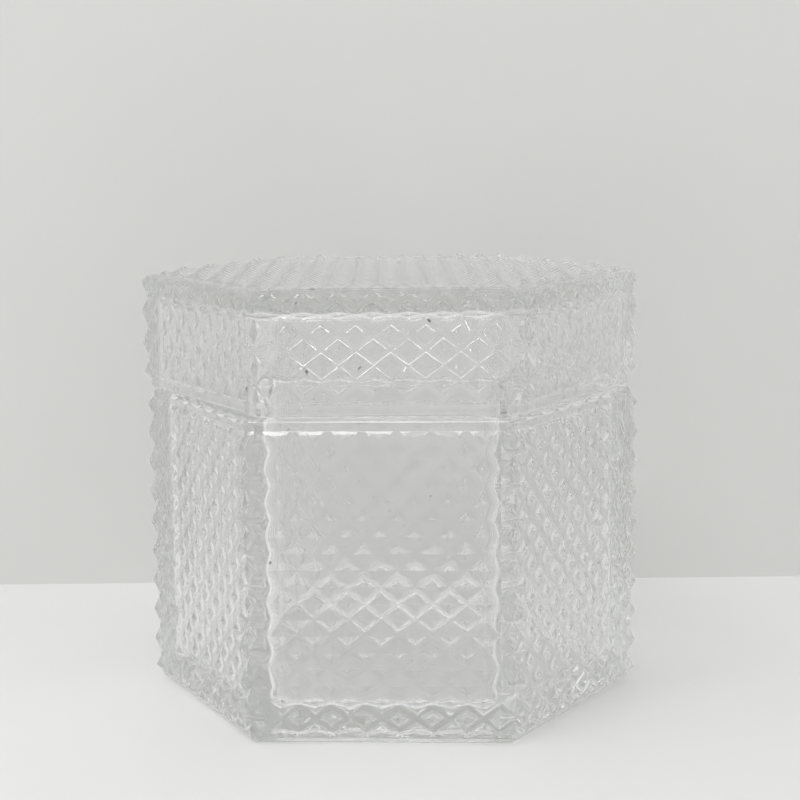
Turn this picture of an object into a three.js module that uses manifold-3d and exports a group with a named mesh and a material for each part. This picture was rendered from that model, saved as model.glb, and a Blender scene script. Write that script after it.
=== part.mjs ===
// Disinfectant jar: a hexagonal covered jar of clear pressed glass.
// Two loose pieces: the jar body with its mouth neck, and the lid that drops over the neck.
// Units are millimetres, +Z is up, one flat side faces -Y and the foot stands on Z = 0.
import * as THREE from 'three';
import { mergeGeometries, mergeVertices } from 'three/addons/utils/BufferGeometryUtils.js';
import Module from 'manifold-3d';

// ---------------------------------------------------------------------------
// Diamond-point pattern
// ---------------------------------------------------------------------------
const SIDES = 6;                    // sides of the jar and of the lid
const diamondsPerSide = 8;          // whole diamonds across one side
const diamondPitch = 7.5;           // diagonal of one diamond, across and up
const diamondHeight = 1.2;          // tip above the valleys
const bodyRows = 9;                 // diamonds up the jar side
const lidRows = 3;                  // diamonds up the lid side
const capInset = 0.6;               // end slope starts this far inside the last tip line
const capRun = 0.9;                 // and reaches the plain band this far outside it
const bandDrop = 0.04;              // plain bands lie this far below the valleys

// ---------------------------------------------------------------------------
// Jar body
// ---------------------------------------------------------------------------
const footBand = 2.6;               // plain band below the pattern
const shoulderBand = 3.5;           // plain band above the pattern
const bodyEdgeRound = 1.7;          // rounding of the foot edge and of the shoulder edge
const cornerRound = 2.2;            // rounding of the upright edges in the plain bands
const floorThick = 6.8;             // glass under the cavity
const cavityCornerRound = 4.5;      // upright inner corners of the jar
const cavityFloorRound = 3.0;       // inner corner between wall and floor
const neckRise = 7.8;               // neck above the shoulder
const neckWall = 2.6;               // neck wall
const neckRound = 0.9;              // rounding of the neck rim
const footRecess = 1.0;             // hollow under the foot
const footRingWidth = 7.0;          // flat ring the jar stands on

// ---------------------------------------------------------------------------
// Lid
// ---------------------------------------------------------------------------
const lidSeatGap = 0.3;             // lid rim above the shoulder it rests on
const lidRimBand = 3.6;             // plain band below the lid pattern
const lidTopBand = 1.5;             // plain band above the lid pattern
const lidWall = 3.3;                // lid side wall behind the valleys
const lidPlate = 5.3;               // lid top plate below the valleys
const lidEdgeRound = 1.3;           // rounding of the rim and of the top edge
const lidCavityRound = 9.0;         // upright inner corners of the lid
const lidCavityTopRound = 2.0;      // inner corner between lid wall and plate
const lidPlay = 1.6;                // clearance between neck and lid on every flat
const lidTurn = 3.0;                // degrees the loose lid sits turned on the neck
const topBorder = 2.0;              // plain border round the points on the lid top

// ---------------------------------------------------------------------------
// Sizes that follow
// ---------------------------------------------------------------------------
const COS30 = Math.cos(Math.PI / SIDES);
const sideWidth = diamondsPerSide * diamondPitch;         // flat side, tip to tip
const tipHalf = sideWidth * COS30;                        // axis to the tips of a side
const valleyHalf = tipHalf - diamondHeight;               // axis to the valleys
const bandHalf = valleyHalf - bandDrop;                   // axis to the plain bands
const pointSide = diamondPitch / Math.SQRT2;              // base side of one glass point

const bodyPatternBottom = footBand;
const bodyPatternTop = bodyPatternBottom + bodyRows * diamondPitch;
const shoulderZ = bodyPatternTop + shoulderBand;
const neckTop = shoulderZ + neckRise;

const lidCavityHalf = bandHalf - lidWall;
const neckHalf = lidCavityHalf - lidPlay;
const cavityHalf = neckHalf - neckWall;
const neckCornerRound = cavityCornerRound + neckWall;
const footRecessHalf = bandHalf - bodyEdgeRound - footRingWidth;

const lidRimZ = shoulderZ + lidSeatGap;
const lidPatternBottom = lidRimZ + lidRimBand;
const lidPatternTop = lidPatternBottom + lidRows * diamondPitch;
const lidTopZ = lidPatternTop + lidTopBand;
const lidCeilingZ = lidTopZ - lidPlate;

// ---------------------------------------------------------------------------
// Solid helpers
// ---------------------------------------------------------------------------
const wasm = await Module();
wasm.setup();

/** Copy of a geometry that keeps only its positions and its faces. */
function bare(geometry) {
  const copy = geometry.clone();
  copy.deleteAttribute('normal');
  copy.deleteAttribute('uv');
  copy.clearGroups();
  return copy;
}

/** Turn a three.js geometry into a manifold solid. */
function solid(geometry) {
  const welded = mergeVertices(bare(geometry), 1e-4);
  return new wasm.Manifold(new wasm.Mesh({
    numProp: 3,
    vertProperties: new Float32Array(welded.attributes.position.array),
    triVerts: new Uint32Array(welded.index.array),
  }));
}

/** Turn a manifold solid back into a three.js geometry. */
function geometryOf(body) {
  const mesh = body.getMesh();
  const geometry = new THREE.BufferGeometry();
  geometry.setAttribute('position', new THREE.BufferAttribute(mesh.vertProperties, 3));
  geometry.setIndex(new THREE.BufferAttribute(mesh.triVerts, 1));
  return geometry;
}

/** Hexagonal outline with rounded corners; `half` is the distance from centre to a flat. */
function hexOutline(half, round) {
  const shape = new THREE.Shape();
  const reach = (half - round) / COS30;
  for (let i = 0; i < SIDES; i += 1) {
    const corner = (i * 2 * Math.PI) / SIDES;
    const sweep = Math.PI / SIDES;
    shape.absarc(
      reach * Math.cos(corner), reach * Math.sin(corner), round,
      corner - sweep, corner + sweep, false,
    );
  }
  shape.closePath();
  return shape;
}

/** Upright hexagonal block between two heights with rounded end edges. */
function hexBlock({ half, round, bottom, top, edge }) {
  const geometry = new THREE.ExtrudeGeometry(hexOutline(half, round), {
    depth: top - bottom - 2 * edge,
    bevelThickness: edge,
    bevelSize: edge,
    bevelOffset: -edge,
    bevelSegments: 3,
    curveSegments: 4,
  });
  geometry.translate(0, 0, bottom + edge);
  return solid(geometry);
}

/** Sharp-cornered hexagonal solid turned from a half profile of [distance to flat, height]. */
function hexTurned(profile) {
  const points = profile.map(([half, z]) => new THREE.Vector2(half / COS30, z));
  points.push(points[0].clone());
  const geometry = new THREE.LatheGeometry(points, SIDES);
  geometry.rotateX(Math.PI / 2);
  geometry.rotateZ(Math.PI / 2);
  return solid(geometry);
}

// ---------------------------------------------------------------------------
// Diamond points: square glass points standing side by side
// ---------------------------------------------------------------------------
/** Block whose top is a square field of points, with the tips at Z = 0. */
function pointBlock(count, depth) {
  const block = new THREE.BoxGeometry(count, count, 1, count, count, 1);
  block.translate(0, 0, -1.5);
  const topFace = block.groups[4];
  const faces = Array.from(block.index.array);
  faces.splice(topFace.start, topFace.count);
  block.setIndex(faces);

  const point = new THREE.ConeGeometry(Math.SQRT1_2, 1, 4, 1, true);
  point.rotateY(Math.PI / 4);
  point.rotateX(Math.PI / 2);
  point.translate((1 - count) / 2, (1 - count) / 2, -0.5);
  const pieces = [bare(block)];
  for (let column = 0; column < count; column += 1) {
    for (let row = 0; row < count; row += 1) {
      pieces.push(bare(point).translate(column, row, 0));
    }
  }
  const unit = mergeVertices(mergeGeometries(pieces), 1e-4);
  const position = unit.attributes.position;
  for (let i = 0; i < position.count; i += 1) {
    const z = position.getZ(i);
    const base = z < -1.5 ? -diamondHeight - depth : -diamondHeight;
    position.setXYZ(
      i,
      position.getX(i) * pointSide,
      position.getY(i) * pointSide,
      z > -0.5 ? 0 : base,
    );
  }
  return solid(unit);
}

/** Belt of diamond points round the hexagon, sloping into the plain bands at both ends. */
function diamondBelt(bottom, rows) {
  const top = bottom + rows * diamondPitch;
  const middle = Math.floor(rows / 2) * diamondPitch;
  const reach = sideWidth + top - bottom - middle + 2 * capRun;
  const count = 2 * Math.ceil(reach / Math.SQRT2 / pointSide) + 1;
  const slab = pointBlock(count, 2 * tipHalf)
    .rotate([0, 0, 45])
    .rotate([-90, 0, 0])
    .translate([0, tipHalf, bottom + middle]);

  const rise = (capInset + capRun) / (diamondHeight + bandDrop);
  const proud = tipHalf + 0.6;
  const slopeOut = capInset + 0.6 * rise;
  let belt = hexTurned([
    [0, bottom - capRun],
    [bandHalf, bottom - capRun],
    [proud, bottom + slopeOut],
    [proud, top - slopeOut],
    [bandHalf, top + capRun],
    [0, top + capRun],
  ]);
  for (let i = 0; i < SIDES; i += 1) {
    belt = belt.intersect(slab.rotate([0, 0, (i * 360) / SIDES]));
  }
  return belt;
}

/** Field of points on the lid top, in rows along the flat sides, inside a plain border. */
function topPoints() {
  const fieldHalf = bandHalf - topBorder;
  const count = 2 * Math.ceil(fieldHalf / COS30 / pointSide) + 2;
  const rise = diamondHeight + 0.5;
  return hexTurned([
    [0, -diamondHeight - 1.0],
    [fieldHalf, -diamondHeight - 1.0],
    [fieldHalf, -diamondHeight - 3 * bandDrop],
    [fieldHalf - rise, 0.5],
    [0, 0.5],
  ])
    .intersect(pointBlock(count, 4.0))
    .translate([0, 0, lidTopZ + diamondHeight + bandDrop]);
}

// ---------------------------------------------------------------------------
// The two pieces
// ---------------------------------------------------------------------------
/** Jar: thick foot, six pointed sides and a plain neck that the lid drops over. */
function makeJarBody() {
  const outer = hexBlock({
    half: bandHalf,
    round: cornerRound,
    bottom: 0,
    top: shoulderZ,
    edge: bodyEdgeRound,
  });
  const neck = hexBlock({
    half: neckHalf,
    round: neckCornerRound,
    bottom: floorThick,
    top: neckTop,
    edge: neckRound,
  });
  const cavity = hexBlock({
    half: cavityHalf,
    round: cavityCornerRound,
    bottom: floorThick,
    top: neckTop + 10,
    edge: cavityFloorRound,
  });
  const recess = hexBlock({
    half: footRecessHalf,
    round: cavityCornerRound,
    bottom: -4,
    top: footRecess,
    edge: footRecess / 2,
  });
  return outer
    .add(diamondBelt(bodyPatternBottom, bodyRows))
    .add(neck)
    .subtract(cavity)
    .subtract(recess);
}

/** Lid: deep cap with pointed sides and a pointed top, seated turned by its play. */
function makeLid() {
  const cap = hexBlock({
    half: bandHalf,
    round: cornerRound,
    bottom: lidRimZ,
    top: lidTopZ,
    edge: lidEdgeRound,
  });
  const cavity = hexBlock({
    half: lidCavityHalf,
    round: lidCavityRound,
    bottom: lidRimZ - 10,
    top: lidCeilingZ,
    edge: lidCavityTopRound,
  });
  return cap
    .add(diamondBelt(lidPatternBottom, lidRows))
    .add(topPoints())
    .subtract(cavity)
    .rotate([0, 0, lidTurn]);
}

const glass = (color) => new THREE.MeshStandardMaterial({
  color,
  roughness: 0.06,
  metalness: 0,
});

function named(name, body, material) {
  const mesh = new THREE.Mesh(geometryOf(body), material);
  mesh.name = name;
  return mesh;
}

const jar = new THREE.Group();
jar.name = 'disinfectant_jar';
jar.add(named('jar_body', makeJarBody(), glass(0xdfe6e4)));
jar.add(named('lid', makeLid(), glass(0xe6ebea)));

export default jar;
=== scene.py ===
"""Looks of a disinfectant jar: a hexagonal covered jar of clear pressed glass.

The jar and its loose lid are each modelled as one closed piece of glass, with diamond points
pressed into every side and into the lid top, and stand on a pale floor before a pale wall.
Sizes in the classes are millimetres; the finished meshes are brought to metres, in the frame
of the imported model.
"""

import logging
import math
from contextlib import contextmanager
from dataclasses import dataclass, field
from enum import Enum
from typing import Callable, Iterator, Sequence

import bmesh
import bpy
from mathutils import Matrix, Vector


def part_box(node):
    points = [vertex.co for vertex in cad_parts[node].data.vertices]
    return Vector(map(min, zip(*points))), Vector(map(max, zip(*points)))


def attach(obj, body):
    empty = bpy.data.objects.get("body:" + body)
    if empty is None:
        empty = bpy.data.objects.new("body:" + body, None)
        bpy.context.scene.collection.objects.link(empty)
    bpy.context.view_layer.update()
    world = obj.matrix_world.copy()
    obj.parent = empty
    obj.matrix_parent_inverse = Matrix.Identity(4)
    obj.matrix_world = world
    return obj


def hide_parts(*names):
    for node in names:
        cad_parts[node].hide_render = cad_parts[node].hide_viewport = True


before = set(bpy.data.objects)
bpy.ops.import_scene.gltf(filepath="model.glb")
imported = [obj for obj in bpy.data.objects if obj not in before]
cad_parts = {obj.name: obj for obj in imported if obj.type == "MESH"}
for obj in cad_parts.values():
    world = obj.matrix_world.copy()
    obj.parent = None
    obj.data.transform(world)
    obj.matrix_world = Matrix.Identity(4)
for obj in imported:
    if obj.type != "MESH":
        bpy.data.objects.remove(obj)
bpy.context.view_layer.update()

LOG = logging.getLogger("disinfectant_jar")
MM = 0.001
SIDES = 6
COS30 = math.cos(math.pi / SIDES)
TAN30 = math.tan(math.pi / SIDES)
LIGHT_BOUNCES = 32  # enough for light that passes from facet to facet
CUT_THRESHOLD = 1e-5
ORDER_STEP = 0.001
ORDER_SHIFT = 0.00027  # keeps round sizes away from the edge of a step


class Part(Enum):
    """What an edit-mode selection picks."""

    VERTEX = "VERT"
    EDGE = "EDGE"
    FACE = "FACE"


class Join(Enum):
    """How one solid is put together with another."""

    ADD = "UNION"
    CUT = "DIFFERENCE"
    KEEP_COMMON = "INTERSECT"


# ---------------------------------------------------------------------------
# The bench: modelling steps, one piece at a time
# ---------------------------------------------------------------------------
class Bench:
    """Selecting, editing and joining pieces."""

    @staticmethod
    def clear() -> None:
        """Leave edit mode and deselect everything."""
        if bpy.context.object and bpy.context.object.mode != "OBJECT":
            bpy.ops.object.mode_set(mode="OBJECT")
        bpy.ops.object.select_all(action="DESELECT")

    @staticmethod
    def take(piece: bpy.types.Object) -> None:
        """Make one piece the only selected and the active one."""
        Bench.clear()
        piece.select_set(True)
        bpy.context.view_layer.objects.active = piece

    @staticmethod
    @contextmanager
    def editing(piece: bpy.types.Object) -> Iterator[bpy.types.Object]:
        """Work on a piece in edit mode, with nothing selected at the start."""
        Bench.take(piece)
        bpy.ops.object.mode_set(mode="EDIT")
        bpy.ops.mesh.select_all(action="DESELECT")
        try:
            yield piece
        finally:
            bpy.ops.object.mode_set(mode="OBJECT")

    @staticmethod
    def pick(piece: bpy.types.Object, part: Part, test: Callable[..., bool]) -> None:
        """Select by place or normal what a test says, and deselect the rest.

        Args:
            piece: The piece in edit mode.
            part: Whether vertices, edges or faces are tested.
            test: Says of one mesh element whether it is taken.
        """
        bpy.ops.mesh.select_mode(type=part.value)
        bpy.ops.mesh.select_all(action="DESELECT")
        mesh = bmesh.from_edit_mesh(piece.data)
        group = {Part.VERTEX: mesh.verts, Part.EDGE: mesh.edges, Part.FACE: mesh.faces}[part]
        for element in [element for element in group if test(element)]:
            element.select_set(True)
        bmesh.update_edit_mesh(piece.data)

    @staticmethod
    def copy(piece: bpy.types.Object, name: str) -> bpy.types.Object:
        """Copy a piece with its own mesh."""
        Bench.take(piece)
        bpy.ops.object.duplicate(linked=False)
        made = bpy.context.object
        made.name = name
        return made

    @staticmethod
    def settle(piece: bpy.types.Object) -> None:
        """Put a piece's place, turn and scale into its mesh."""
        Bench.take(piece)
        bpy.ops.object.transform_apply(location=True, rotation=True, scale=True)

    @staticmethod
    def order(piece: bpy.types.Object) -> None:
        """Put a piece's points and faces in an order that is the same each run.

        Cutting and rounding leave them in an order that varies, and what is welded or
        dissolved next depends on it. No point moves.

        Args:
            piece: The piece, out of edit mode and with no finish yet.
        """
        mesh = piece.data
        places = [tuple(vertex.co) for vertex in mesh.vertices]
        steps = [
            tuple(math.floor((c + ORDER_SHIFT) / ORDER_STEP) for c in place) for place in places
        ]
        ranked = sorted(range(len(places)), key=lambda i: (steps[i], places[i]))
        rank = {old: new for new, old in enumerate(ranked)}
        faces = []
        for polygon in mesh.polygons:
            ring = [rank[i] for i in polygon.vertices]
            start = ring.index(min(ring))
            faces.append(ring[start:] + ring[:start])
        mesh.clear_geometry()
        mesh.from_pydata([places[i] for i in ranked], [], sorted(faces))
        mesh.update()

    @staticmethod
    def unite(pieces: Sequence[bpy.types.Object]) -> bpy.types.Object:
        """Join several meshes into the first one, without cutting them."""
        Bench.take(pieces[0])
        for piece in pieces:
            piece.select_set(True)
        bpy.ops.object.join()
        return pieces[0]

    @staticmethod
    def combine(piece: bpy.types.Object, tool: bpy.types.Object, join: Join) -> None:
        """Add, cut or intersect a closed piece with a closed tool, which is used up.

        Args:
            piece: The piece that keeps the result.
            tool: The second solid.
            join: How the two go together.
        """
        Bench.take(piece)
        step = piece.modifiers.new("Join", "BOOLEAN")
        step.operation = join.value
        step.solver = "MANIFOLD"
        step.object = tool
        bpy.ops.object.modifier_apply(modifier=step.name)
        bpy.data.objects.remove(tool)
        Bench.order(piece)

    @staticmethod
    def turned(piece: bpy.types.Object, degrees: float) -> None:
        """Turn a piece about the upright axis, anticlockwise seen from above."""
        piece.rotation_euler = (0.0, 0.0, math.radians(degrees))
        Bench.settle(piece)


@dataclass(frozen=True)
class HexBlock:
    """An upright six-sided block with rounded upright corners and rounded ends.

    Sizes are millimetres; `half` is the distance from the axis to a flat side.
    """

    half: float
    bottom: float
    top: float
    corner: float
    foot_round: float = 0.0
    rim_round: float = 0.0
    steps: int = 6

    def build(self, name: str) -> bpy.types.Object:
        """Make the block, with two upright edges on the X axis.

        Args:
            name: Name of the new object.

        Returns:
            The closed block.
        """
        Bench.clear()
        bpy.ops.mesh.primitive_cylinder_add(
            vertices=SIDES,
            radius=self.half / COS30,
            depth=self.top - self.bottom,
            location=(0.0, 0.0, (self.top + self.bottom) / 2),
            rotation=(0.0, 0.0, math.pi / SIDES),
        )
        block = bpy.context.object
        block.name = name
        Bench.settle(block)
        with Bench.editing(block):
            if self.corner > 0:
                Bench.pick(block, Part.EDGE, self._upright)
                self._round(self.corner * TAN30)
            for level, radius in ((self.bottom, self.foot_round), (self.top, self.rim_round)):
                if radius > 0:
                    Bench.pick(block, Part.EDGE, lambda e, z=level: self._at(e, z))
                    self._round(radius)
        Bench.order(block)
        return block

    def _upright(self, edge: bmesh.types.BMEdge) -> bool:
        """Tell whether an edge runs from the bottom to the top."""
        return abs(edge.verts[0].co.z - edge.verts[1].co.z) > (self.top - self.bottom) / 2

    def _at(self, edge: bmesh.types.BMEdge, level: float) -> bool:
        """Tell whether an edge lies at a level."""
        return all(abs(v.co.z - level) < 1e-3 for v in edge.verts)

    def _round(self, offset: float) -> None:
        """Round the selected edges."""
        bpy.ops.mesh.bevel(
            offset=offset, offset_type="OFFSET", segments=self.steps, profile=0.5,
            affect="EDGES", clamp_overlap=True,
        )


# ---------------------------------------------------------------------------
# Diamond points
# ---------------------------------------------------------------------------
@dataclass(frozen=True)
class DiamondPoints:
    """The pressed pattern: square glass points side by side, standing on their corners."""

    pitch: float = 7.5
    height: float = 1.2
    columns: int = 8
    soft_edge: float = 0.13
    cap_inset: float = 0.6
    cap_run: float = 0.9
    band_drop: float = 0.04
    sunk: float = 0.12

    @property
    def side_width(self) -> float:
        """Width of one side of the hexagon, from corner tip to corner tip."""
        return self.columns * self.pitch

    @property
    def tip_half(self) -> float:
        """Distance from the axis to the tips of a side."""
        return self.side_width * COS30

    @property
    def valley_half(self) -> float:
        """Distance from the axis to the valleys of a side."""
        return self.tip_half - self.height

    @property
    def band_half(self) -> float:
        """Distance from the axis to the plain bands."""
        return self.valley_half - self.band_drop

    @property
    def cell(self) -> float:
        """Base side of one square point."""
        return self.pitch / math.sqrt(2.0)

    def plate(self, count: int, name: str) -> bpy.types.Object:
        """Make a flat square plate of points, tips up, with its valleys at Z = 0.

        Args:
            count: Points along each side of the plate.
            name: Name of the new object.

        Returns:
            The open plate, with a tip at the middle when the count is odd.
        """
        Bench.clear()
        bpy.ops.mesh.primitive_grid_add(
            x_subdivisions=count, y_subdivisions=count, size=count * self.cell
        )
        plate = bpy.context.object
        plate.name = name
        with Bench.editing(plate):
            bpy.ops.mesh.select_all(action="SELECT")
            bpy.ops.mesh.poke(offset=self.height)
            if self.soft_edge > 0:
                Bench.pick(plate, Part.EDGE, lambda e: not e.is_boundary)
                bpy.ops.mesh.bevel(
                    offset=self.soft_edge, segments=1, affect="EDGES", clamp_overlap=True
                )
        return plate

    def belt(self, bottom: float, rows: int, name: str) -> bpy.types.Object:
        """Make the belt of points round the hexagon, sloped off at both ends.

        Args:
            bottom: Height of the lower tip line, in millimetres.
            rows: Whole diamonds up the side.
            name: Name of the new object.

        Returns:
            A closed six-sided solid.
        """
        top = bottom + rows * self.pitch
        side = self._side(bottom, top, rows, name)
        Bench.order(side)
        sides = [side]
        for turn in range(1, SIDES):
            other = Bench.copy(side, f"{name}_{turn}")
            Bench.turned(other, 60.0 * turn)
            sides.append(other)
        belt = Bench.unite(sides)
        Bench.order(belt)
        with Bench.editing(belt):
            bpy.ops.mesh.select_all(action="SELECT")
            bpy.ops.mesh.remove_doubles(threshold=2e-3)
            for sign in (-1, 1):
                reach = (top - bottom) / 2 + self.cap_run + self._sink
                level = (bottom + top) / 2 + sign * reach
                Bench.pick(belt, Part.EDGE, lambda e, z=level: self._on_rim(e, z))
                bpy.ops.mesh.edge_face_add()
            bpy.ops.mesh.select_all(action="SELECT")
            bpy.ops.mesh.normals_make_consistent(inside=False)
        Bench.order(belt)
        return belt

    @staticmethod
    def _on_rim(edge: bmesh.types.BMEdge, level: float) -> bool:
        """Tell whether an edge is on the open rim at a level."""
        return edge.is_boundary and all(abs(v.co.z - level) < 0.01 for v in edge.verts)

    @property
    def _slope(self) -> float:
        """Run up the side for each millimetre that the end slope rises."""
        return (self.cap_inset + self.cap_run) / (self.height + self.band_drop)

    @property
    def _sink(self) -> float:
        """How far the end slopes run on inside the plain bands."""
        return self.sunk * self._slope

    def _side(self, bottom: float, top: float, rows: int, name: str) -> bpy.types.Object:
        """Make one side of the belt, facing -Y, cut to the two corner planes."""
        middle = bottom + (rows // 2) * self.pitch
        reach = self.side_width + 2 * (top - middle) + 4 * self.pitch
        count = 2 * math.ceil(reach / math.sqrt(2.0) / self.cell / 2) + 1
        side = self.plate(count, name)
        side.rotation_euler = (0.0, 0.0, math.radians(45.0))
        Bench.settle(side)
        side.rotation_euler = (math.radians(90.0), 0.0, 0.0)
        side.location = (0.0, -self.valley_half, middle)
        Bench.settle(side)
        with Bench.editing(side):
            for sign, level in ((-1, bottom), (1, top)):
                self._slope_off(side, sign, level)
            for sign in (-1, 1):
                bpy.ops.mesh.select_all(action="SELECT")
                bpy.ops.mesh.bisect(
                    plane_co=(0.0, 0.0, 0.0),
                    plane_no=(sign * COS30, 0.5, 0.0),
                    clear_outer=True,
                    threshold=CUT_THRESHOLD,
                )
        return side

    def _slope_off(self, side: bpy.types.Object, sign: int, level: float) -> None:
        """Cut one end of a side on its slope and carry the slope into the plain band."""
        foot = Vector((0.0, -self.band_half, level + sign * self.cap_run))
        plane = Vector((0.0, -self._slope, float(sign))).normalized()
        bpy.ops.mesh.select_all(action="SELECT")
        bpy.ops.mesh.bisect(
            plane_co=foot, plane_no=plane, clear_outer=True, threshold=CUT_THRESHOLD
        )
        Bench.pick(
            side, Part.EDGE,
            lambda e: e.is_boundary and all(abs(plane.dot(v.co - foot)) < 1e-3 for v in e.verts),
        )
        bpy.ops.mesh.extrude_edges_move()
        end = level + sign * (self.cap_run + self._sink)
        bpy.ops.transform.resize(
            value=(1.0, 0.0, 0.0),
            center_override=(0.0, -self.band_half + self.sunk, end),
        )


# ---------------------------------------------------------------------------
# Finishes
# ---------------------------------------------------------------------------
@dataclass(frozen=True)
class ClearGlass:
    """Clear pressed glass, fire-polished, with faint ripples, dust and small specks."""

    name: str
    tint: tuple[float, float, float] = (0.988, 0.988, 0.99)
    depth_tint: tuple[float, float, float] = (0.58, 0.60, 0.57)
    depth: float = 5.0
    roughness: tuple[float, float] = (0.0, 0.045)
    ripple: float = 0.25
    pores: float = 0.05
    shadow: float = 0.80
    ior: float = 1.51
    dust_scale: float = 900.0
    speck_scale: float = 420.0
    speck_share: tuple[float, float] = (0.79, 0.82)
    speck_colour: tuple[float, float, float] = (0.10, 0.09, 0.08)
    haze_scale: float = 70.0
    haze_share: tuple[float, float] = (0.40, 0.75)
    ripple_scale: float = 110.0

    def build(self) -> bpy.types.Material:
        """Make the material.

        Returns:
            Glass that lets lamps through, with its colour in its depth.
        """
        material = bpy.data.materials.new(self.name)
        material.use_nodes = True
        tree = material.node_tree
        tree.nodes.clear()
        new = tree.nodes.new
        link = tree.links.new

        place = new("ShaderNodeTexCoord")
        glass = new("ShaderNodeBsdfPrincipled")
        glass.inputs["Transmission Weight"].default_value = 1.0
        glass.inputs["IOR"].default_value = self.ior

        dust = self._noise(tree, place, self.dust_scale, 3.0)
        speck = self._noise(tree, place, self.speck_scale, 1.0)
        marks = new("ShaderNodeMapRange")
        marks.inputs["From Min"].default_value = self.speck_share[0]
        marks.inputs["From Max"].default_value = self.speck_share[1]
        link(speck.outputs["Fac"], marks.inputs["Value"])
        veil = new("ShaderNodeMix")
        veil.data_type = "RGBA"
        veil.inputs["A"].default_value = (*self.tint, 1.0)
        veil.inputs["B"].default_value = (*(0.97 * c for c in self.tint), 1.0)
        link(dust.outputs["Fac"], veil.inputs["Factor"])
        colour = new("ShaderNodeMix")
        colour.data_type = "RGBA"
        colour.inputs["B"].default_value = (*self.speck_colour, 1.0)
        link(veil.outputs["Result"], colour.inputs["A"])
        link(marks.outputs["Result"], colour.inputs["Factor"])
        link(colour.outputs["Result"], glass.inputs["Base Color"])

        haze = self._noise(tree, place, self.haze_scale, 4.0)
        rough = new("ShaderNodeMapRange")
        rough.inputs["From Min"].default_value = self.haze_share[0]
        rough.inputs["From Max"].default_value = self.haze_share[1]
        rough.inputs["To Min"].default_value = self.roughness[0]
        rough.inputs["To Max"].default_value = self.roughness[1]
        link(haze.outputs["Fac"], rough.inputs["Value"])
        link(rough.outputs["Result"], glass.inputs["Roughness"])

        slow = self._noise(tree, place, self.ripple_scale, 1.0)
        wave = new("ShaderNodeBump")
        wave.inputs["Strength"].default_value = self.ripple
        wave.inputs["Distance"].default_value = 0.0004
        link(slow.outputs["Fac"], wave.inputs["Height"])
        skin = new("ShaderNodeBump")
        skin.inputs["Strength"].default_value = self.pores
        skin.inputs["Distance"].default_value = 0.0001
        link(dust.outputs["Fac"], skin.inputs["Height"])
        link(wave.outputs["Normal"], skin.inputs["Normal"])
        link(skin.outputs["Normal"], glass.inputs["Normal"])

        clear = new("ShaderNodeBsdfTransparent")
        clear.inputs["Color"].default_value = (self.shadow, self.shadow, self.shadow, 1.0)
        rays = new("ShaderNodeLightPath")
        lamps = new("ShaderNodeMixShader")
        link(rays.outputs["Is Shadow Ray"], lamps.inputs["Fac"])
        link(glass.outputs["BSDF"], lamps.inputs[1])
        link(clear.outputs["BSDF"], lamps.inputs[2])

        body = new("ShaderNodeVolumeAbsorption")
        body.inputs["Color"].default_value = (*self.depth_tint, 1.0)
        body.inputs["Density"].default_value = self.depth

        out = new("ShaderNodeOutputMaterial")
        link(lamps.outputs["Shader"], out.inputs["Surface"])
        link(body.outputs["Volume"], out.inputs["Volume"])
        return material

    @staticmethod
    def _noise(
        tree: bpy.types.NodeTree, place: bpy.types.Node, scale: float, detail: float
    ) -> bpy.types.Node:
        """Add a noise texture that sits on the object."""
        node = tree.nodes.new("ShaderNodeTexNoise")
        node.inputs["Scale"].default_value = scale
        node.inputs["Detail"].default_value = detail
        tree.links.new(place.outputs["Object"], node.inputs["Vector"])
        return node


@dataclass(frozen=True)
class MattPaint:
    """A matt painted surface for the floor and the wall, with faint wear."""

    name: str
    colour: tuple[float, float, float]
    worn: tuple[float, float, float]
    roughness: float = 0.6
    one_sided: bool = False

    def build(self) -> bpy.types.Material:
        """Make the material.

        Returns:
            The paint; one-sided paint can't be seen from behind.
        """
        material = bpy.data.materials.new(self.name)
        material.use_nodes = True
        tree = material.node_tree
        new, link = tree.nodes.new, tree.links.new
        paint = tree.nodes["Principled BSDF"]
        paint.inputs["Roughness"].default_value = self.roughness
        paint.inputs["Specular IOR Level"].default_value = 0.2
        place = new("ShaderNodeTexCoord")
        cloud = new("ShaderNodeTexNoise")
        cloud.inputs["Scale"].default_value = 14.0
        cloud.inputs["Detail"].default_value = 6.0
        link(place.outputs["Object"], cloud.inputs["Vector"])
        wear = new("ShaderNodeMix")
        wear.data_type = "RGBA"
        wear.inputs["A"].default_value = (*self.colour, 1.0)
        wear.inputs["B"].default_value = (*self.worn, 1.0)
        link(cloud.outputs["Fac"], wear.inputs["Factor"])
        link(wear.outputs["Result"], paint.inputs["Base Color"])
        if self.one_sided:
            side = new("ShaderNodeNewGeometry")
            gone = new("ShaderNodeBsdfTransparent")
            pick = new("ShaderNodeMixShader")
            link(side.outputs["Backfacing"], pick.inputs["Fac"])
            link(paint.outputs["BSDF"], pick.inputs[1])
            link(gone.outputs["BSDF"], pick.inputs[2])
            link(pick.outputs["Shader"], tree.nodes["Material Output"].inputs["Surface"])
        return material


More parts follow.
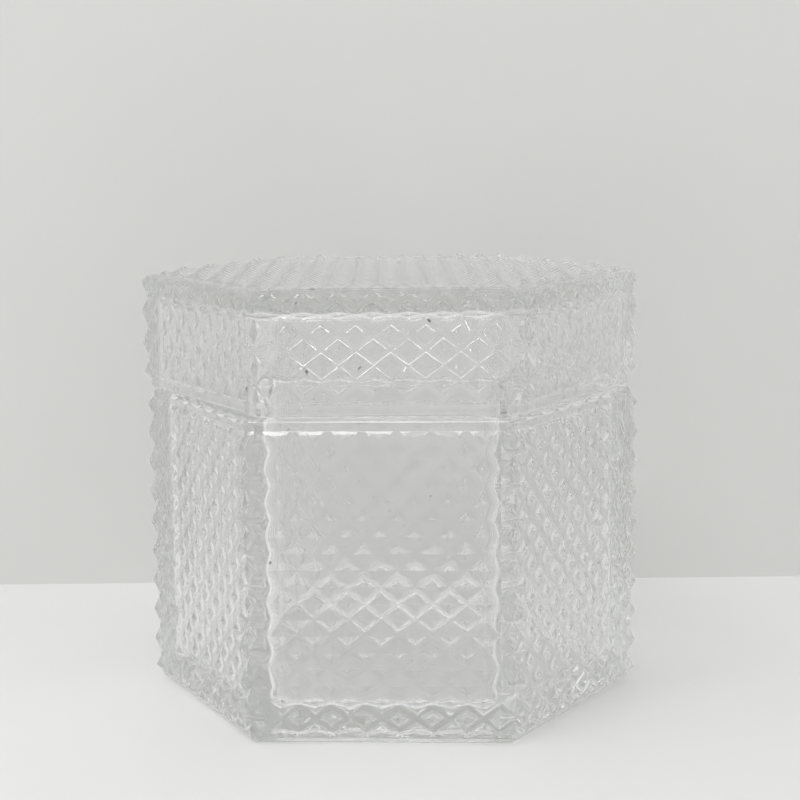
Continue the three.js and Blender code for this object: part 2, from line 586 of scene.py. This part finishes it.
# ---------------------------------------------------------------------------
# The two pieces of glass
# ---------------------------------------------------------------------------
@dataclass
class GlassPiece:
    """What the jar body and the lid share: their points, their finish and their body."""

    points: DiamondPoints
    finish: ClearGlass
    name: str = "glass"
    node: str = ""
    body: str = ""
    slot: str = ""
    made: bpy.types.Object | None = field(default=None, init=False)

    def build(self) -> bpy.types.Object:
        """Build the closed piece of glass, in millimetres."""
        raise NotImplementedError

    def make(self) -> bpy.types.Object:
        """Build the piece, finish its surface and hand it to its body.

        Returns:
            The finished piece, in metres.
        """
        self.made = self.build()
        self.made.name = self.name
        self.made.data.name = self.name
        self._smooth()
        self.made.scale = (MM, MM, MM)
        Bench.settle(self.made)
        self.dress()
        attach(self.made, self.body)
        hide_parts(self.node)
        LOG.info("%s: %d faces", self.name, len(self.made.data.polygons))
        return self.made

    def dress(self) -> None:
        """Give the piece its glass."""
        self.made.data.materials.clear()
        self.made.data.materials.append(self.finish.build())

    def _smooth(self) -> None:
        """Keep the facets flat and let the small edge faces turn the light."""
        piece = self.made
        with Bench.editing(piece):
            bpy.ops.mesh.select_all(action="SELECT")
            bpy.ops.mesh.remove_doubles(threshold=1e-3)
            bpy.ops.mesh.dissolve_limited(angle_limit=math.radians(0.3))
        Bench.order(piece)
        Bench.take(piece)
        bpy.ops.object.shade_smooth_by_angle(angle=math.radians(38.0))
        weigh = piece.modifiers.new("Facets", "WEIGHTED_NORMAL")
        weigh.mode = "FACE_AREA"
        weigh.weight = 60
        weigh.keep_sharp = True
        bpy.ops.object.modifier_apply(modifier=weigh.name)


@dataclass
class JarBody(GlassPiece):
    """Thick foot, six pointed sides and a plain neck that the lid drops over."""

    name: str = "jar_glass"
    node: str = "jar_body"
    body: str = "jar"
    slot: str = "body_glass"
    rows: int = 9
    foot_band: float = 2.6
    shoulder_band: float = 3.5
    edge_round: float = 1.7
    corner_round: float = 2.2
    floor_thick: float = 6.8
    cavity_corner: float = 4.5
    cavity_floor: float = 3.0
    neck_half: float = 45.8215
    neck_wall: float = 2.6
    neck_round: float = 0.9
    foot_recess: float = 1.0
    foot_ring: float = 7.0

    def build(self) -> bpy.types.Object:
        """Build the jar body.

        Returns:
            The closed glass, in millimetres.
        """
        low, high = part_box(self.node)
        points = self.points
        shoulder = self.foot_band + self.rows * points.pitch + self.shoulder_band
        neck_top = high.z / MM
        outer = HexBlock(
            half=points.band_half, bottom=low.z / MM, top=shoulder, corner=self.corner_round,
            foot_round=self.edge_round, rim_round=self.edge_round,
        ).build("jar_outer")
        Bench.combine(outer, points.belt(self.foot_band, self.rows, "jar_belt"), Join.ADD)
        neck = HexBlock(
            half=self.neck_half, bottom=self.floor_thick, top=neck_top,
            corner=self.cavity_corner + self.neck_wall, rim_round=self.neck_round,
        ).build("neck")
        Bench.combine(outer, neck, Join.ADD)
        cavity = HexBlock(
            half=self.neck_half - self.neck_wall, bottom=self.floor_thick, top=neck_top + 10.0,
            corner=self.cavity_corner, foot_round=self.cavity_floor,
        ).build("hollow")
        Bench.combine(outer, cavity, Join.CUT)
        recess = HexBlock(
            half=points.band_half - self.edge_round - self.foot_ring, bottom=-4.0,
            top=self.foot_recess, corner=self.cavity_corner, rim_round=self.foot_recess / 2,
        ).build("foot_hollow")
        Bench.combine(outer, recess, Join.CUT)
        return outer


@dataclass
class Lid(GlassPiece):
    """Deep cap with pointed sides and a pointed top, seated turned by its play."""

    name: str = "lid_glass"
    node: str = "lid"
    body: str = "lid"
    slot: str = "lid_glass"
    rows: int = 3
    rim_band: float = 3.6
    top_band: float = 1.5
    wall: float = 3.3
    plate: float = 5.3
    edge_round: float = 1.3
    corner_round: float = 2.2
    cavity_corner: float = 9.0
    cavity_top: float = 2.0
    top_border: float = 2.0
    turn: float = 3.0

    def build(self) -> bpy.types.Object:
        """Build the lid.

        Returns:
            The closed glass, in millimetres, turned as it sits on the neck.
        """
        points = self.points
        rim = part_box(self.node)[0].z / MM
        pattern = rim + self.rim_band
        top = pattern + self.rows * points.pitch + self.top_band
        cap = HexBlock(
            half=points.band_half, bottom=rim, top=top, corner=self.corner_round,
            foot_round=self.edge_round, rim_round=self.edge_round,
        ).build("lid_outer")
        Bench.combine(cap, points.belt(pattern, self.rows, "lid_belt"), Join.ADD)
        Bench.combine(cap, self._top_points(top), Join.ADD)
        cavity = HexBlock(
            half=points.band_half - self.wall, bottom=rim - 10.0, top=top - self.plate,
            corner=self.cavity_corner, rim_round=self.cavity_top,
        ).build("lid_hollow")
        Bench.combine(cap, cavity, Join.CUT)
        Bench.turned(cap, self.turn)
        return cap

    def _top_points(self, top: float) -> bpy.types.Object:
        """Make the field of points on the lid top, inside its plain border."""
        points = self.points
        field_half = points.band_half - self.top_border
        count = 2 * math.ceil(field_half / COS30 / points.cell) + 2
        plate = points.plate(count, "top_points")
        with Bench.editing(plate):
            bpy.ops.mesh.select_all(action="SELECT")
            bpy.ops.mesh.extrude_region_move(TRANSFORM_OT_translate={"value": (0.0, 0.0, -8.0)})
            bpy.ops.transform.resize(value=(1.0, 1.0, 0.0), center_override=(0.0, 0.0, -3.0))
            bpy.ops.mesh.select_all(action="SELECT")
            bpy.ops.mesh.normals_make_consistent(inside=False)
        plate.location = (0.0, 0.0, top + points.band_drop)
        Bench.settle(plate)
        blank = HexBlock(
            half=field_half, bottom=top - 1.0, top=top + points.sunk + 2 * points.height, corner=0.0
        ).build("top_blank")
        with Bench.editing(blank):
            Bench.pick(blank, Part.FACE, lambda f: f.normal.z > 0.9)
            narrow = 1.0 - (2 * points.height + points.sunk) / field_half
            bpy.ops.transform.resize(value=(narrow, narrow, 1.0), center_override=(0.0, 0.0, 0.0))
        Bench.combine(plate, blank, Join.KEEP_COMMON)
        return plate


# ---------------------------------------------------------------------------
# Floor, wall, light and camera
# ---------------------------------------------------------------------------
@dataclass
class Studio:
    """The pale floor and wall, the soft light and the camera; places are in metres."""

    wall_y: float = 0.0985
    turn: float = 2.956
    floor_colour: tuple[float, float, float] = (0.75, 0.75, 0.745)
    wall_colour: tuple[float, float, float] = (0.665, 0.665, 0.65)
    camera_place: tuple[float, float, float] = (0.0, -0.4337, 0.1349)
    pan: float = 0.268
    tilt: float = 10.403
    roll: float = -0.540
    lens: float = 80.84
    rise: float = 0.075
    room_height: tuple[float, float] = (0.66, 1.05)
    room_across: tuple[float, float] = (1.25, 0.80)
    room_depth: tuple[float, float] = (0.80, 1.05)
    lamp_place: tuple[float, float, float] = (-0.35, -0.75, 1.1)
    lamp_aim: tuple[float, float, float] = (0.0, 0.0, 0.05)
    lamp_size: tuple[float, float] = (0.9, 0.5)
    lamp_power: float = 9.0
    plane_size: float = 6.0

    def build(self) -> None:
        """Put up the floor, the wall, the light and the camera."""
        self._floor()
        self._wall()
        self._light()
        self._camera()

    def _plane(self, name: str, paint: MattPaint) -> bpy.types.Object:
        """Add a large plane that isn't part of the object."""
        Bench.clear()
        bpy.ops.mesh.primitive_plane_add(size=self.plane_size)
        plane = bpy.context.object
        plane.name = name
        plane.data.materials.append(paint.build())
        return plane

    def _floor(self) -> None:
        """Lay the floor just under the foot."""
        worn = tuple(0.94 * c for c in self.floor_colour)
        floor = self._plane("floor", MattPaint("floor_paint", self.floor_colour, worn))
        floor.location = (0.0, 0.0, -0.0001)
        Bench.settle(floor)

    def _wall(self) -> None:
        """Stand the wall close behind the jar; from behind it can't be seen."""
        worn = tuple(0.95 * c for c in self.wall_colour)
        wall = self._plane("wall", MattPaint("wall_paint", self.wall_colour, worn, one_sided=True))
        wall.rotation_euler = (math.radians(90.0), 0.0, 0.0)
        wall.location = (0.0, self.wall_y, 2.9)
        Bench.settle(wall)
        wall.rotation_euler = (0.0, 0.0, math.radians(self.turn))
        Bench.settle(wall)

    def _light(self) -> None:
        """Light from the room above and in front, and a dimmer room all round."""
        world = bpy.data.worlds.new("room")
        bpy.context.scene.world = world
        world.use_nodes = True
        tree = world.node_tree
        new, link = tree.nodes.new, tree.links.new
        place = new("ShaderNodeTexCoord")
        split = new("ShaderNodeSeparateXYZ")
        link(place.outputs["Generated"], split.inputs["Vector"])
        level = None
        for axis, (low, high) in (
            ("Z", self.room_height), ("X", self.room_across), ("Y", self.room_depth)
        ):
            share = new("ShaderNodeMapRange")
            share.inputs["From Min"].default_value = -0.2 if axis == "Z" else -1.0
            share.inputs["To Min"].default_value = low
            share.inputs["To Max"].default_value = high
            link(split.outputs[axis], share.inputs["Value"])
            if level is None:
                level = share.outputs["Result"]
                continue
            both = new("ShaderNodeMath")
            both.operation = "MULTIPLY"
            link(level, both.inputs[0])
            link(share.outputs["Result"], both.inputs[1])
            level = both.outputs["Value"]
        link(level, tree.nodes["Background"].inputs["Strength"])
        tree.nodes["Background"].inputs["Color"].default_value = (1.0, 1.0, 1.0, 1.0)
        Bench.clear()
        bpy.ops.object.light_add(type="AREA", location=self.lamp_place)
        lamp = bpy.context.object
        lamp.name = "ceiling_light"
        lamp.data.shape = "RECTANGLE"
        lamp.data.size, lamp.data.size_y = self.lamp_size
        lamp.data.energy = self.lamp_power
        aim = Vector(self.lamp_aim) - lamp.location
        lamp.rotation_euler = aim.to_track_quat("-Z", "Y").to_euler()

    def _camera(self) -> None:
        """Set the camera at its viewing angle."""
        pan, tilt, roll = (math.radians(v) for v in (self.pan, self.tilt, self.roll))
        ahead = Vector(
            (math.sin(pan) * math.cos(tilt), math.cos(pan) * math.cos(tilt), -math.sin(tilt))
        )
        right = Vector((math.cos(pan), -math.sin(pan), 0.0))
        up = right.cross(ahead)
        across = math.cos(roll) * right + math.sin(roll) * up
        upward = math.cos(roll) * up - math.sin(roll) * right
        view = Matrix((across, upward, -ahead)).transposed().to_4x4()
        view.translation = Vector(self.camera_place)
        data = bpy.data.cameras.new("camera")
        data.lens = self.lens
        data.sensor_width = 36.0
        data.shift_y = self.rise
        data.clip_start = 0.01
        camera = bpy.data.objects.new("camera", data)
        bpy.context.scene.collection.objects.link(camera)
        camera.matrix_world = Matrix.Rotation(math.radians(self.turn), 4, "Z") @ view
        bpy.context.scene.camera = camera


def main() -> None:
    """Build the jar, its lid and the room they stand in."""
    logging.basicConfig(level=logging.INFO, format="%(message)s")
    scene = bpy.context.scene
    scene.view_settings.view_transform = "Standard"
    scene.cycles.max_bounces = LIGHT_BOUNCES
    scene.cycles.glossy_bounces = LIGHT_BOUNCES
    scene.cycles.transmission_bounces = LIGHT_BOUNCES
    scene.cycles.transparent_max_bounces = LIGHT_BOUNCES
    Studio().build()
    points = DiamondPoints()
    JarBody(points, ClearGlass("body_glass")).make()
    Lid(points, ClearGlass("lid_glass")).make()


if __name__ == "__main__":
    main()
